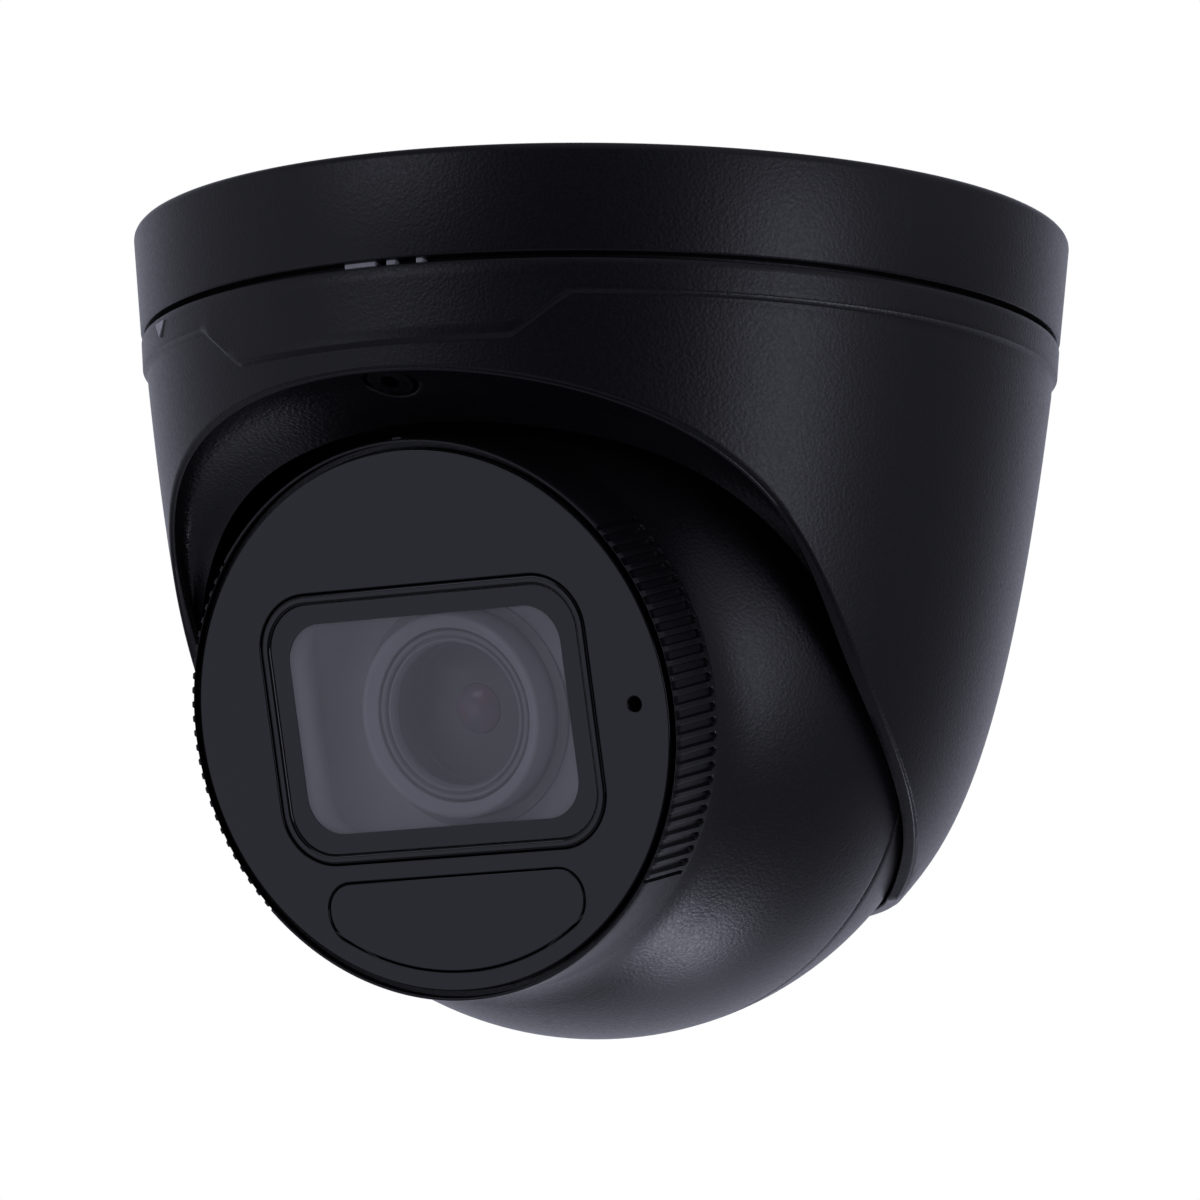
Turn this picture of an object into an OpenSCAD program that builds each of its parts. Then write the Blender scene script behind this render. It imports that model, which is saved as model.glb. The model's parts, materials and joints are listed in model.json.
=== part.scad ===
// Ceiling-mounted turret camera: a ball that carries the optics hangs in a
// tilting yoke inside a dome cover, and the cover turns on a fixed base.
// Units are millimetres. Origin: centre of the ceiling face. +Z is up,
// the lens looks towards -Y, and +X is on the viewer's right.

/* [Base] */
// Outer radius of the base at the ceiling
base_r = 64; // [62:0.5:68]
// Height of the base's ring wall
base_h = 14.3; // [13.5:0.1:15]
// Thickness of the base plate
base_plate = 3.2; // [2.5:0.1:4]
// Radius of the screw circle in the base plate
screw_circle_r = 51; // [50:0.5:52]
// Radius of each mounting screw hole
screw_hole_r = 2.3; // [2:0.1:2.6]
// Radius of the cable's way through the grommet
cable_r = 3.2; // [2.5:0.1:4]

/* [Dome cover] */
// Outer radius of the cover at its top edge
cover_r = 62.6; // [62:0.1:63]
// Wall of the cover
cover_wall = 2; // [1.8:0.1:2.2]
// How far the band round the top stands proud
band_proud = 0.7; // [0.3:0.1:0.9]
// Height of the lower edge of the band
band_z = -19; // [-20:0.5:-18]
// Height of the band's lower edge where it dips at the front
band_front_z = -25; // [-26:0.5:-23]
// Height of the cover's lower lip
lip_z = -90.6; // [-92:0.1:-89]

/* [Ball] */
// Radius of the ball
ball_r = 49.2; // [48.8:0.1:49.3]
// Height of the ball's centre
ball_z = -60.3; // [-60.5:0.1:-60]
// Wall of the ball's two shells
ball_wall = 2.2; // [1.8:0.1:2.6]
// Angle of the lens below the horizontal at rest
rest_tilt = 15.8; // [14:0.1:18]
// Radius of the neck round the face
neck_r = 37.4; // [36.8:0.1:37.6]
// Distance from the ball's centre to the face
face_s = 43.8; // [43:0.1:44]

/* [Face] */
// Radius of the black face panel
face_r = 36; // [35.5:0.1:36.2]
// Half width of the lens window's frame
frame_x = 25; // [24:0.1:26]
// Half height of the lens window's frame
frame_y = 18.1; // [17.5:0.1:18.5]
// Half width of the clear part of the lens window
clear_x = 21; // [19:0.1:21.5]
// Half height of the clear part of the lens window
clear_y = 14.1; // [13:0.1:14.6]
// Half width of the infrared window at its widest
ir_x = 19.7; // [18:0.1:20.5]
// Radius of the infrared window's lower edge
ir_r = 33.4; // [32:0.1:33.8]

/* [Lens] */
// Radius of the lens's front ring
lens_r = 13.7; // [13:0.1:14]
// How far the front ring lies behind the face
lens_back = 4.7; // [4:0.1:6]
// Travel of the zoom group
zoom_travel = 6; // [3:0.5:6]
// Travel of the focus group each way
focus_travel = 2; // [1:0.5:2.5]

/* [Hidden] */
$fn = 96;

satin_black = [0.13, 0.13, 0.15];
gloss_black = [0.05, 0.05, 0.06];
rubber_black = [0.08, 0.08, 0.08];
pale_mark = [0.75, 0.75, 0.78];
zinc = [0.70, 0.71, 0.73];
alloy = [0.60, 0.61, 0.63];
brass = [0.78, 0.62, 0.30];
board_green = [0.05, 0.30, 0.16];
inner_grey = [0.30, 0.30, 0.33];
clear_glass = [0.70, 0.80, 0.85, 0.35];

// Gap of a turning fit, gap round the ball, and how far a cutter passes through
running = 0.05;
ball_gap = 0.5;
over = 1;

// Base and turntable, heights from the ceiling face
index_r = 60.3;
index_wall = 1.9;
index_z = -16.6;
spigot_r = 44;
spigot_wall = 4;
table_top = -17;
table_low = -19.5;
washer_low = -19.8;
clamp_low = -21.4;
clamp_r = 47.5;
cover_top = -base_h - 0.7;
seal_top = -15.6;
seal_low = -16.4;
grommet_r = 9.5;
gasket_in = 53.5;
gasket_out = 57.5;
gasket_thick = 1.2;
table_screw_r = 54;
clamp_screw_r = spigot_r - spigot_wall / 2;

// Side view of the cover's opening: one S-shaped curve in Y and Z
opening_curve = [[-60.8, -28.2], [-13.9, -48.6], [-36.9, -64.2], [23.4, -92.3]];
// Profile of the cover below its band: one curve in radius and Z
profile_curve = [[61.65, -20.6], [54.8, -77.4], [46.9, -83.7], [39.7, -92.3]];
curve_steps = 28;

// Ceiling of the recess, and its locking screw
recess_end = 0.16;
recess_thick = 2;
recess_slope = 23;
lock_x = 1.4;
lock_y = -56.2;
lock_z = -30.3;
lock_hole_r = 3.8;
lock_head_r = 3.1;
lock_shank_r = 1.5;

// Yoke and its pivots
yoke_in = 49.8;
yoke_out = 50.9;
yoke_half = 5;
yoke_end = 4.5;
pin_r = 3;
bush_r = 5;
boss_r = 6.4;
bush_in = 51.4;
bush_out = 52.9;
sleeve_r = 7;
sleeve_bore = 5;

// Inside the ball, distances along the optical axis from the ball's centre
seam_s = 0.6;
panel_thick = 2;
gap_r = 36.95;
gap_depth = 1.3;
ledge_s = 27;
neck_bore = 34;
panel_back = face_s - panel_thick;
lens_front = face_s - lens_back;
rod_r = 1;
rod_y = 11.2;
screw_r = 1.2;
screw_x = 19.5;
mic_x = 31.1;
shell_screw_r = 45.2;
shell_screw_angles = [45, 135, 225, 315];
cell_r = 13.9;
housing_r = 15.6;
housing_bore = 14.2;
housing_low = -8.4;
pupil_r = 3.4;
sensor_s = -14.2;
post_xy = 22;

// A point on a cubic curve with four control points
function curve_at(c, t) = pow(1 - t, 3) * c[0] + 3 * t * pow(1 - t, 2) * c[1]
  + 3 * t * t * (1 - t) * c[2] + pow(t, 3) * c[3];
function curve_dir(c, t) = let (d = pow(1 - t, 2) * (c[1] - c[0])
  + 2 * t * (1 - t) * (c[2] - c[1]) + t * t * (c[3] - c[2])) d / norm(d);
// Points of a curve from one parameter to another, moved sideways by off
function curve_points(c, from, to, off) = [for (i = [0:curve_steps])
  let (t = from + (to - from) * i / curve_steps, d = curve_dir(c, t))
  curve_at(c, t) + off * [d[1], -d[0]]];
function arc_points(r, from, to, steps) = [for (i = [0:steps])
  let (a = from + (to - from) * i / steps) [r * cos(a), r * sin(a)]];

// Puts children in the ball's frame: Z is the optical axis, Y is the face's up
module in_ball() {
  translate([0, 0, ball_z]) rotate([90 + rest_tilt, 0, 0]) children();
}

// Ring round Z between two radii and two heights
module ring(r_in, r_out, low, high) {
  translate([0, 0, low]) difference() {
    cylinder(r = r_out, h = high - low);
    translate([0, 0, -over]) cylinder(r = r_in, h = high - low + 2 * over);
  }
}

module disc(r, low, high) {
  translate([0, 0, low]) cylinder(r = r, h = high - low);
}

// Places children at a radius, once for each angle in a list
module round_z(radius, angles) {
  for (a = angles) rotate(a) translate([radius, 0, 0]) children();
}

// Rounded rectangle between two heights, made of two boxes and four corners
module round_box(half_x, half_y, corner, low, high) {
  translate([0, 0, low]) {
    translate([-half_x, corner - half_y, 0])
      cube([2 * half_x, 2 * (half_y - corner), high - low]);
    translate([corner - half_x, -half_y, 0])
      cube([2 * (half_x - corner), 2 * half_y, high - low]);
    for (sx = [-1, 1], sy = [-1, 1])
      translate([sx * (half_x - corner), sy * (half_y - corner), 0])
        cylinder(r = corner, h = high - low);
  }
}

module box_between(a, b) {
  translate(a) cube(b - a);
}

// ---- base, fixed to the ceiling ----

mount_angles = [90, 210, 330];
clamp_angles = [30, 150, 270];
table_angles = [50, 170, 290];

module mounting_base() {
  color(satin_black) difference() {
    union() {
      rotate_extrude() polygon([
        [0, 0], [base_r - 0.6, 0], [base_r, -0.6], [base_r, -1.4],
        [base_r - 0.9, 0.7 - base_h], [base_r - 1.3, -base_h],
        [index_r + 0.1, -base_h], [index_r + 0.1, -base_plate], [0, -base_plate]]);
      ring(spigot_r - spigot_wall, spigot_r, washer_low, -base_plate);
    }
    ring(gasket_in, gasket_out, -gasket_thick, over);
    disc(grommet_r, -base_plate - over, over);
    round_z(screw_circle_r, mount_angles) disc(screw_hole_r, -base_plate - over, over);
    round_z(clamp_screw_r, clamp_angles) disc(1, washer_low - over, -12);
  }
}

module ceiling_gasket() {
  color(rubber_black) ring(gasket_in, gasket_out, -gasket_thick, 0);
}

module index_ring() {
  color(satin_black) ring(index_r - index_wall, index_r, index_z, -base_plate);
}

// Three pale marks in the gap between base and cover, each with its angle and half width
module index_marks() {
  color(pale_mark) intersection() {
    ring(index_r, index_r + 1.7, cover_top + 0.05, -base_h - 0.05);
    for (mark = [[-89.6, 2.3], [-85.3, 0.6], [-81.5, 0.4]]) rotate(mark[0])
      box_between([50, -mark[1], -16], [70, mark[1], -14]);
  }
}

module cable_grommet() {
  color(rubber_black) difference() {
    union() {
      disc(grommet_r, -base_plate, 0);
      disc(grommet_r + 1.5, -base_plate - 1.4, -base_plate);
    }
    disc(cable_r, -base_plate - 2 - over, over);
  }
}

module weather_seal() {
  color(rubber_black) ring(index_r, index_r + 0.5, seal_low, seal_top);
}

module friction_washer() {
  color(zinc) ring(spigot_r + running, clamp_r - 0.2, washer_low, table_low - running);
}

module retaining_ring() {
  color(zinc) difference() {
    ring(spigot_r - spigot_wall, clamp_r, clamp_low, washer_low);
    round_z(clamp_screw_r, clamp_angles) disc(1.2, clamp_low - over, -12);
  }
}

module retaining_screws() {
  color(zinc) round_z(clamp_screw_r, clamp_angles) {
    disc(1, clamp_low, -13);
    difference() {
      disc(1.9, clamp_low - 1, clamp_low);
      translate([0, 0, clamp_low - 1.5]) cylinder(r = 0.9, h = 1, $fn = 6);
    }
  }
}

// ---- dome cover, turning about Z on the base ----

// Moves a profile point outwards until it clears the ball
function clear_of_ball(p) = let (r = ball_r + ball_gap, h = p[1] - ball_z)
  [max(p[0], sqrt(max(0, r * r - h * h))), p[1]];

module cover_inside() {
  rotate_extrude() polygon(concat(
    [[0, cover_top], [index_r + 0.6, cover_top], [index_r + 0.6, table_low]],
    [for (p = curve_points(profile_curve, 0, 0.97, cover_wall)) clear_of_ball(p)],
    [for (down = [0.5, 1, 2]) clear_of_ball([0, lip_z - down])],
    [[0, lip_z - 2]]));
}

// Everything in front of the opening's side view
module opening_cut() {
  rotate([90, 0, 90]) translate([0, 0, -80]) linear_extrude(height = 160)
    polygon(concat([[-90, opening_curve[0][1]]],
      curve_points(opening_curve, 0, 1, 0), [[23.4, -130], [-90, -130]]));
}

// Front view of the band: it dips in the middle of the front
module band_region() {
  rotate([90, 0, 0]) translate([0, 0, -80]) linear_extrude(height = 160)
    polygon([[-80, cover_top], [-80, band_z], [-28, band_z], [-21, band_front_z],
      [21, band_front_z], [28, band_z], [80, band_z], [80, cover_top]]);
}

module front_half() {
  translate([-80, -80, -60]) cube([160, 80, 60]);
}

module band() {
  intersection() {
    rotate_extrude() polygon([
      [index_r + 0.6, cover_top], [cover_r - 0.5, cover_top], [cover_r, cover_top - 0.6],
      [61.65 + band_proud, band_z], [61.65, band_z - 1], [60, band_z - 1],
      [60, table_low]]);
    translate([-80, -80, band_z - 1]) cube([160, 160, 20]);
  }
  intersection() {
    rotate_extrude() polygon([
      [60, band_z], [61.65 + band_proud, band_z], [61.1 + band_proud, band_front_z + 0.5],
      [61, band_front_z - 0.2], [60, band_front_z - 0.2]]);
    band_region();
    front_half();
  }
}

module cover_outside() {
  rotate_extrude() polygon(concat([[0, band_z + 0.5], [61.65, band_z + 0.5]],
    curve_points(profile_curve, 0, 1, 0), [[0, -92.3]]));
}

// Pads inside the cover that hold the yoke's bushes
module trunnion_bosses() {
  intersection() {
    cover_outside();
    for (side = [-1, 1]) translate([side * bush_in, 0, ball_z])
      rotate([0, side * 90, 0]) cylinder(r = boss_r, h = 3);
  }
}

module dome_cover() {
  color(satin_black) difference() {
    union() {
      difference() {
        union() {
          cover_outside();
          band();
        }
        cover_inside();
      }
      trunnion_bosses();
      intersection() {
        round_z(table_screw_r, table_angles) union() {
          disc(3.2, table_low - 6, table_low);
          box_between([0, -1.5, table_low - 6], [8, 1.5, table_low]);
        }
        disc(60.4, table_low - 8, table_low);
      }
    }
    translate([-80, -80, lip_z - 10]) cube([160, 160, 10]);
    opening_cut();
    lock_axis() cylinder(r = lock_hole_r + running, h = 4, center = true);
    round_z(table_screw_r, table_angles) disc(1.2, table_low - 5, table_low + over);
    for (side = [-1, 1]) translate([side * (bush_in - over), 0, ball_z])
      rotate([0, side * 90, 0]) cylinder(r = bush_r, h = bush_out - bush_in + over);
    arrow();
  }
}

// Arrow on the band, left of the front
module arrow() {
  rotate(-130) translate([cover_r - 0.2, 0, 0]) rotate([90, 0, 90])
    linear_extrude(height = 0.3) polygon([[-2, -15.9], [2, -15.9], [0, -18]]);
}

module cover_arrow() {
  color(pale_mark) arrow();
}

module turntable_ring() {
  color(alloy) difference() {
    ring(spigot_r + running, index_r + 0.5, table_low, table_top);
    round_z(table_screw_r, table_angles) disc(1.4, table_low - over, table_top + over);
    round_z(screw_circle_r, mount_angles) disc(4.5, table_low - over, table_top + over);
  }
}

module turntable_screws() {
  color(zinc) round_z(table_screw_r, table_angles) {
    disc(1.2, table_low - 4, table_top);
    difference() {
      disc(2.4, table_top, table_top + 1.4);
      translate([0, 0, table_top + 0.6]) cylinder(r = 1.2, h = 1, $fn = 6);
    }
  }
}

// Frame of the locking screw: Z points up into the cover, at the recess's ceiling
module lock_axis() {
  translate([lock_x, lock_y, lock_z]) rotate([-recess_slope, 0, 0]) children();
}

// Room that the neck needs, at rest and at its upper stop
module neck_room() {
  for (up = [0, 2.6]) translate([0, 0, ball_z]) rotate([90 + rest_tilt - up, 0, 0])
    translate([0, 0, 20]) cylinder(r = neck_r + 0.9, h = 25);
}

module recess_panel() {
  color(satin_black) difference() {
    intersection() {
      union() {
        rotate([90, 0, 90]) translate([0, 0, -60]) linear_extrude(height = 120)
          polygon(concat(curve_points(opening_curve, 0, recess_end, 0),
            [curve_at(opening_curve, recess_end) + [0, 3],
             opening_curve[0] + [0, recess_thick]]));
        lock_axis() disc(5, 0.6, 10);
      }
      cover_inside();
      disc(58.6, -60, -19.7);
    }
    neck_room();
    lock_axis() {
      disc(lock_hole_r, -over * 3, 3);
      disc(3.2, 3, 10 + over);
    }
  }
}

module lock_insert() {
  color(brass) lock_axis() ring(lock_shank_r + running, 3.2, 5, 10);
}

module lock_screw() {
  color(zinc) lock_axis() {
    difference() {
      disc(lock_head_r, 1.2, 4);
      translate([0, 0, 0.2]) cylinder(r = 1.45, h = 2.6, $fn = 6);
    }
    disc(lock_shank_r, 4, 9.6);
  }
}

module trunnion_bushes() {
  color(zinc) for (side = [-1, 1]) translate([side * bush_in, 0, ball_z])
    rotate([0, side * 90, 0]) ring(pin_r + running, bush_r, 0, bush_out - bush_in);
}

// ---- yoke, tilting about X in the cover ----

module tilt_yoke() {
  color(alloy) in_ball() difference() {
    union() {
      intersection() {
        rotate([90, 0, 0]) difference() {
          cylinder(r = yoke_out, h = 2 * yoke_half, center = true);
          cylinder(r = yoke_in, h = 3 * yoke_half, center = true);
        }
        box_between([-60, -20, -60], [60, 20, yoke_end]);
      }
      disc(11, -yoke_out - 0.4, -yoke_in - 0.4);
    }
    rotate([0, 90, 0]) cylinder(r = pin_r, h = 120, center = true);
    disc(sleeve_r, -60, -40);
  }
}

module trunnion_pins() {
  color(zinc) in_ball() for (side = [-1, 1]) rotate([0, side * 90, 0])
    disc(pin_r, yoke_in + 0.1, bush_out - 0.1);
}

module roll_sleeve() {
  color(zinc) in_ball() ring(sleeve_bore, sleeve_r, -52, -44.4);
}

module roll_clip() {
  color(zinc) in_ball() ring(sleeve_r, 9.5, -45.4, -44.4);
}

module ball_grommet() {
  color(rubber_black) in_ball() ring(cable_r, sleeve_bore, -52, -46);
}

// ---- ball, rolling about the optical axis in the yoke ----

module ball_front_shell() {
  inner = ball_r - ball_wall;
  neck_start = 31;
  color(satin_black) in_ball() difference() {
    union() {
      rotate_extrude() polygon(concat(
        arc_points(ball_r, asin(seam_s / ball_r), asin(29.4 / ball_r), 24),
        [[37.6, neck_start], [neck_r - 0.4, neck_start + 1.4], [neck_r, neck_start + 2.4],
         [neck_r, face_s - 0.25], [neck_r - 0.25, face_s], [gap_r, face_s],
         [gap_r, face_s - gap_depth], [face_r + running, face_s - gap_depth],
         [face_r + running, panel_back], [neck_bore, panel_back], [neck_bore, ledge_s],
         [38, ledge_s]],
        arc_points(inner, asin(ledge_s / inner), asin(seam_s / inner), 20)));
      shell_bosses(seam_s, seam_s + 7);
    }
    seal_ring(panel_back + over);
    seam_ring();
    round_z(shell_screw_r, shell_screw_angles) disc(1, seam_s - over, seam_s + 6);
  }
}

// Bosses inside the wall for the screws that join the two shells
module shell_bosses(low, high) {
  intersection() {
    round_z(shell_screw_r - 0.6, shell_screw_angles) disc(2.8, low, high);
    sphere(r = ball_r - ball_wall / 2);
  }
}

// Sealing ring between the shells, half in a groove of each
module seam_ring() {
  ring(47.7, 48.4, seam_s - 0.8, seam_s + 0.8);
}

module ball_rear_shell() {
  inner = ball_r - ball_wall;
  color(satin_black) in_ball() difference() {
    union() {
      intersection() {
        difference() {
          sphere(r = ball_r);
          sphere(r = inner);
        }
        disc(60, -60, seam_s);
      }
      disc(11, -47.6, -46);
      shell_bosses(-9, seam_s);
    }
    disc(9, -60, -40);
    seam_ring();
    round_z(shell_screw_r, shell_screw_angles) {
      disc(1, -20, seam_s + over);
      disc(2, -30, -6);
    }
  }
}

module shell_screws() {
  color(zinc) in_ball() round_z(shell_screw_r, shell_screw_angles) {
    disc(1, -6, 5);
    disc(1.8, -8, -6);
  }
}

module seam_seal() {
  color(rubber_black) in_ball() seam_ring();
}

module roll_bush() {
  color(zinc) in_ball() ring(sleeve_r + running, 9, -48, -46);
}

// Region of the infrared window: flat top, slanted shoulders, round bottom
module ir_region(grow, low, high) {
  intersection() {
    disc(ir_r + grow, low, high);
    translate([0, 0, low]) linear_extrude(height = high - low) polygon([
      [-16 - grow, -20.7 + grow], [16 + grow, -20.7 + grow],
      [ir_x - 1 + grow, -22 + grow], [ir_x + grow, -24], [ir_x + grow, -26.5],
      [ir_x - 3 + grow, -29], [ir_x - 3 + grow, -40], [3 - ir_x - grow, -40],
      [3 - ir_x - grow, -29], [-ir_x - grow, -26.5], [-ir_x - grow, -24],
      [1 - ir_x - grow, -22 + grow]]);
  }
}

module face_panel() {
  color(gloss_black) in_ball() difference() {
    disc(face_r, panel_back, face_s);
    round_box(frame_x, frame_y, 7.6, panel_back - over, face_s + over);
    ir_region(0, panel_back - over, face_s + over);
    translate([mic_x, 0, 0]) disc(1, panel_back - over, face_s + over);
  }
}

// Sealing ring in its groove behind the face panel
module seal_ring(high) {
  ring(34.5, 35.7, panel_back - 0.8, high);
}

module face_seal() {
  color(rubber_black) in_ball() seal_ring(panel_back);
}

module window_frame() {
  color(gloss_black) in_ball() difference() {
    round_box(frame_x, frame_y, 7.6, panel_back, face_s);
    round_box(frame_x - 1.4, frame_y - 1.4, 6.4, panel_back + 0.6, face_s + over);
    round_box(clear_x + 0.8, clear_y + 0.8, 6, panel_back - over, panel_back + 1);
  }
}

module window_mask() {
  color(gloss_black) in_ball() difference() {
    round_box(frame_x - 1.4, frame_y - 1.4, 6.4, panel_back + 0.6, panel_back + 1.1);
    round_box(clear_x, clear_y, 5.2, panel_back, panel_back + 2);
  }
}

module lens_window() {
  color(clear_glass) in_ball()
    round_box(frame_x - 1.4, frame_y - 1.4, 6.4, panel_back + 1.1, face_s);
}

module ir_window() {
  color(gloss_black) in_ball() ir_region(0, panel_back, face_s);
}

module ir_led_board() {
  color(board_green) in_ball() box_between([-14, -30, 34], [14, -21.5, 35.2]);
}

module ir_leds() {
  color(pale_mark) in_ball() for (side = [-1, 1])
    box_between([side * 8 - 1.8, -27.6, 35.2], [side * 8 + 1.8, -24, 36.4]);
}

module led_lenses() {
  color(clear_glass) in_ball() for (side = [-1, 1]) translate([side * 8, -25.8, 36.4])
    rotate_extrude() polygon(concat([[0, 0], [4, 0], [4, 1]], arc_points(4, 15, 90, 8)));
}

module led_heat_block() {
  color(alloy) in_ball() box_between([-12, -29, ledge_s], [12, -22.5, 34]);
}

module microphone() {
  color(zinc) in_ball() translate([mic_x, 0, 0]) disc(2.4, 37, 40.5);
}

module mic_seal() {
  color(rubber_black) in_ball() translate([mic_x, 0, 0]) ring(1.1, 2.6, 40.5, panel_back);
}

// Tray round the lens that keeps the infrared light out of it
module lens_shroud() {
  color(inner_grey) in_ball() difference() {
    round_box(24, 17, 6.6, 33.5, panel_back);
    round_box(22.6, 15.6, 5.6, 34.6, panel_back + over);
    disc(housing_r + 0.1, 30, 40);
  }
}

module chassis_plate() {
  color(alloy) in_ball() {
    difference() {
      disc(36, 25, ledge_s);
      disc(housing_r + 0.1, 20, 30);
      for (side = [-1, 1]) translate([side * screw_x, 0, 0]) disc(4, 20, 30);
      for (side = [-1, 1]) box_between([side * 19 - 5, -4, 20], [side * 19 + 5, 4, 30]);
    }
    translate([mic_x, 0, 0]) disc(2.4, ledge_s, 37);
  }
}

// ---- lens ----

module lens_housing() {
  color(satin_black) in_ball() difference() {
    union() {
      ring(housing_bore, housing_r, housing_low, 35);
      ring(8, housing_bore + 0.2, housing_low, -6);
      ring(9.2, housing_bore + 0.2, 31.6, 33);
      ring(pupil_r, housing_bore + 0.2, 30.8, 31.6);
    }
    for (side = [-1, 1]) translate([0, side * rod_y, 0]) disc(rod_r, housing_low - over, 34);
    box_between([10, -3.4, 12], [20, 3.4, 30.5]);
    box_between([-20, -3.4, 1], [-10, 3.4, 14]);
  }
}

module lens_front_ring() {
  color(zinc) in_ball() ring(lens_r - 2, lens_r, 33, lens_front);
}

module lens_inner_ring() {
  color(gloss_black) in_ball() {
    ring(9.6, lens_r - 2, 33, lens_front - 1.4);
  }
}

module front_element() {
  bulge_r = 16;
  rim = sqrt(bulge_r * bulge_r - 9.6 * 9.6);
  color(clear_glass) in_ball() intersection() {
    disc(9.6, 33, 60);
    translate([0, 0, lens_front - 2.4 - rim]) sphere(r = bulge_r);
  }
}

module guide_rods() {
  color(zinc) in_ball() for (side = [-1, 1]) translate([0, side * rod_y, 0])
    disc(rod_r, housing_low, 33);
}

// A ring that holds one glass group, rides on the rods and has an arm to its screw
module lens_cell(side, low, high, glass_r) {
  difference() {
    union() {
      disc(cell_r, low, high);
      box_between([min(0, side * 23), -3, low], [max(0, side * 23), 3, high]);
    }
    disc(glass_r, low - over, high + over);
    for (s = [-1, 1]) translate([0, s * rod_y, 0])
      disc(rod_r + running, low - over, high + over);
    translate([side * screw_x, 0, 0]) disc(screw_r + 0.1, low - over, high + over);
  }
}

module zoom_group() {
  color(inner_grey) in_ball() lens_cell(1, 17, 22, 8);
  color(clear_glass) in_ball() disc(8, 18, 21);
}

module zoom_lead_screw() {
  color(brass) in_ball() translate([screw_x, 0, 0]) disc(screw_r, 8.3, 31);
}

module zoom_motor() {
  color(zinc) in_ball() difference() {
    translate([screw_x + 2, 0, 0]) disc(4.6, -1.5, 8);
    disc(housing_r, -10, 20);
  }
}

module focus_group() {
  color(inner_grey) in_ball() lens_cell(-1, 5, 9, 7);
  color(clear_glass) in_ball() disc(7, 5.5, 8.5);
}

module focus_lead_screw() {
  color(brass) in_ball() translate([-screw_x, 0, 0]) disc(screw_r, 0.3, 14);
}

module focus_motor() {
  color(zinc) in_ball() difference() {
    translate([-screw_x - 2, 0, 0]) disc(4.6, -7.5, 0);
    disc(housing_r, -10, 20);
  }
}

// ---- behind the lens ----

module filter_frame() {
  color(inner_grey) in_ball() difference() {
    box_between([-17, -8, sensor_s], [17, 8, housing_low]);
    box_between([-15.5, -4.8, -11], [15.5, 4.8, -9.6]);
    disc(4.2, sensor_s - over, housing_low + over);
    box_between([-5, -4.5, sensor_s - over], [5, 4.5, -12.8]);
  }
}

// Two panes side by side: one stops infrared light, the other is clear
module ir_cut_filter() {
  color([0.35, 0.55, 0.60, 0.6]) in_ball()
    box_between([-14.9, -4.5, -10.8], [5.1, 4.5, -9.8]);
}

module filter_coil() {
  color(brass) in_ball() box_between([-7, 8, -13.4], [7, 13, -9]);
}

module image_sensor() {
  color(gloss_black) in_ball() box_between([-4.4, -3.6, sensor_s], [4.4, 3.6, -12.9]);
}

module sensor_board() {
  color(board_green) in_ball() box_between([-19, -15, sensor_s - 1.6], [19, 15, sensor_s]);
}

module main_board() {
  color(board_green) in_ball() disc(34, -26, -24.4);
  color(gloss_black) in_ball() box_between([-7, -7, -27.6], [7, 7, -26]);
}

module heat_spreader() {
  color(alloy) in_ball() disc(31, -29.6, -27.6);
}

module board_posts() {
  color(zinc) in_ball() for (sx = [-1, 1], sy = [-1, 1])
    translate([sx * post_xy, sy * post_xy, 0]) disc(2, -24.4, 25);
}

mounting_base();
ceiling_gasket();
index_ring();
index_marks();
cable_grommet();
weather_seal();
friction_washer();
retaining_ring();
retaining_screws();
dome_cover();
cover_arrow();
turntable_ring();
turntable_screws();
recess_panel();
lock_insert();
trunnion_bushes();
lock_screw();
tilt_yoke();
trunnion_pins();
roll_sleeve();
roll_clip();
ball_grommet();
ball_front_shell();
ball_rear_shell();
seam_seal();
roll_bush();
shell_screws();
face_panel();
face_seal();
window_frame();
window_mask();
lens_window();
ir_window();
ir_led_board();
ir_leds();
led_lenses();
led_heat_block();
microphone();
mic_seal();
lens_shroud();
chassis_plate();
lens_housing();
lens_front_ring();
lens_inner_ring();
front_element();
guide_rods();
zoom_group();
zoom_lead_screw();
zoom_motor();
focus_group();
focus_lead_screw();
focus_motor();
filter_frame();
ir_cut_filter();
filter_coil();
image_sensor();
sensor_board();
main_board();
heat_spreader();
board_posts();
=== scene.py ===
"""Looks of the ceiling-mounted turret camera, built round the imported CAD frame.

Lengths are written in millimetres and turned into metres by MM. A piece of the ball is
built in the ball's own frame, where Z is the optical axis and Y is the face's up.
"""
import json
import math

import bmesh
import bpy
import numpy as np
from mathutils import Matrix, Vector

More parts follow.
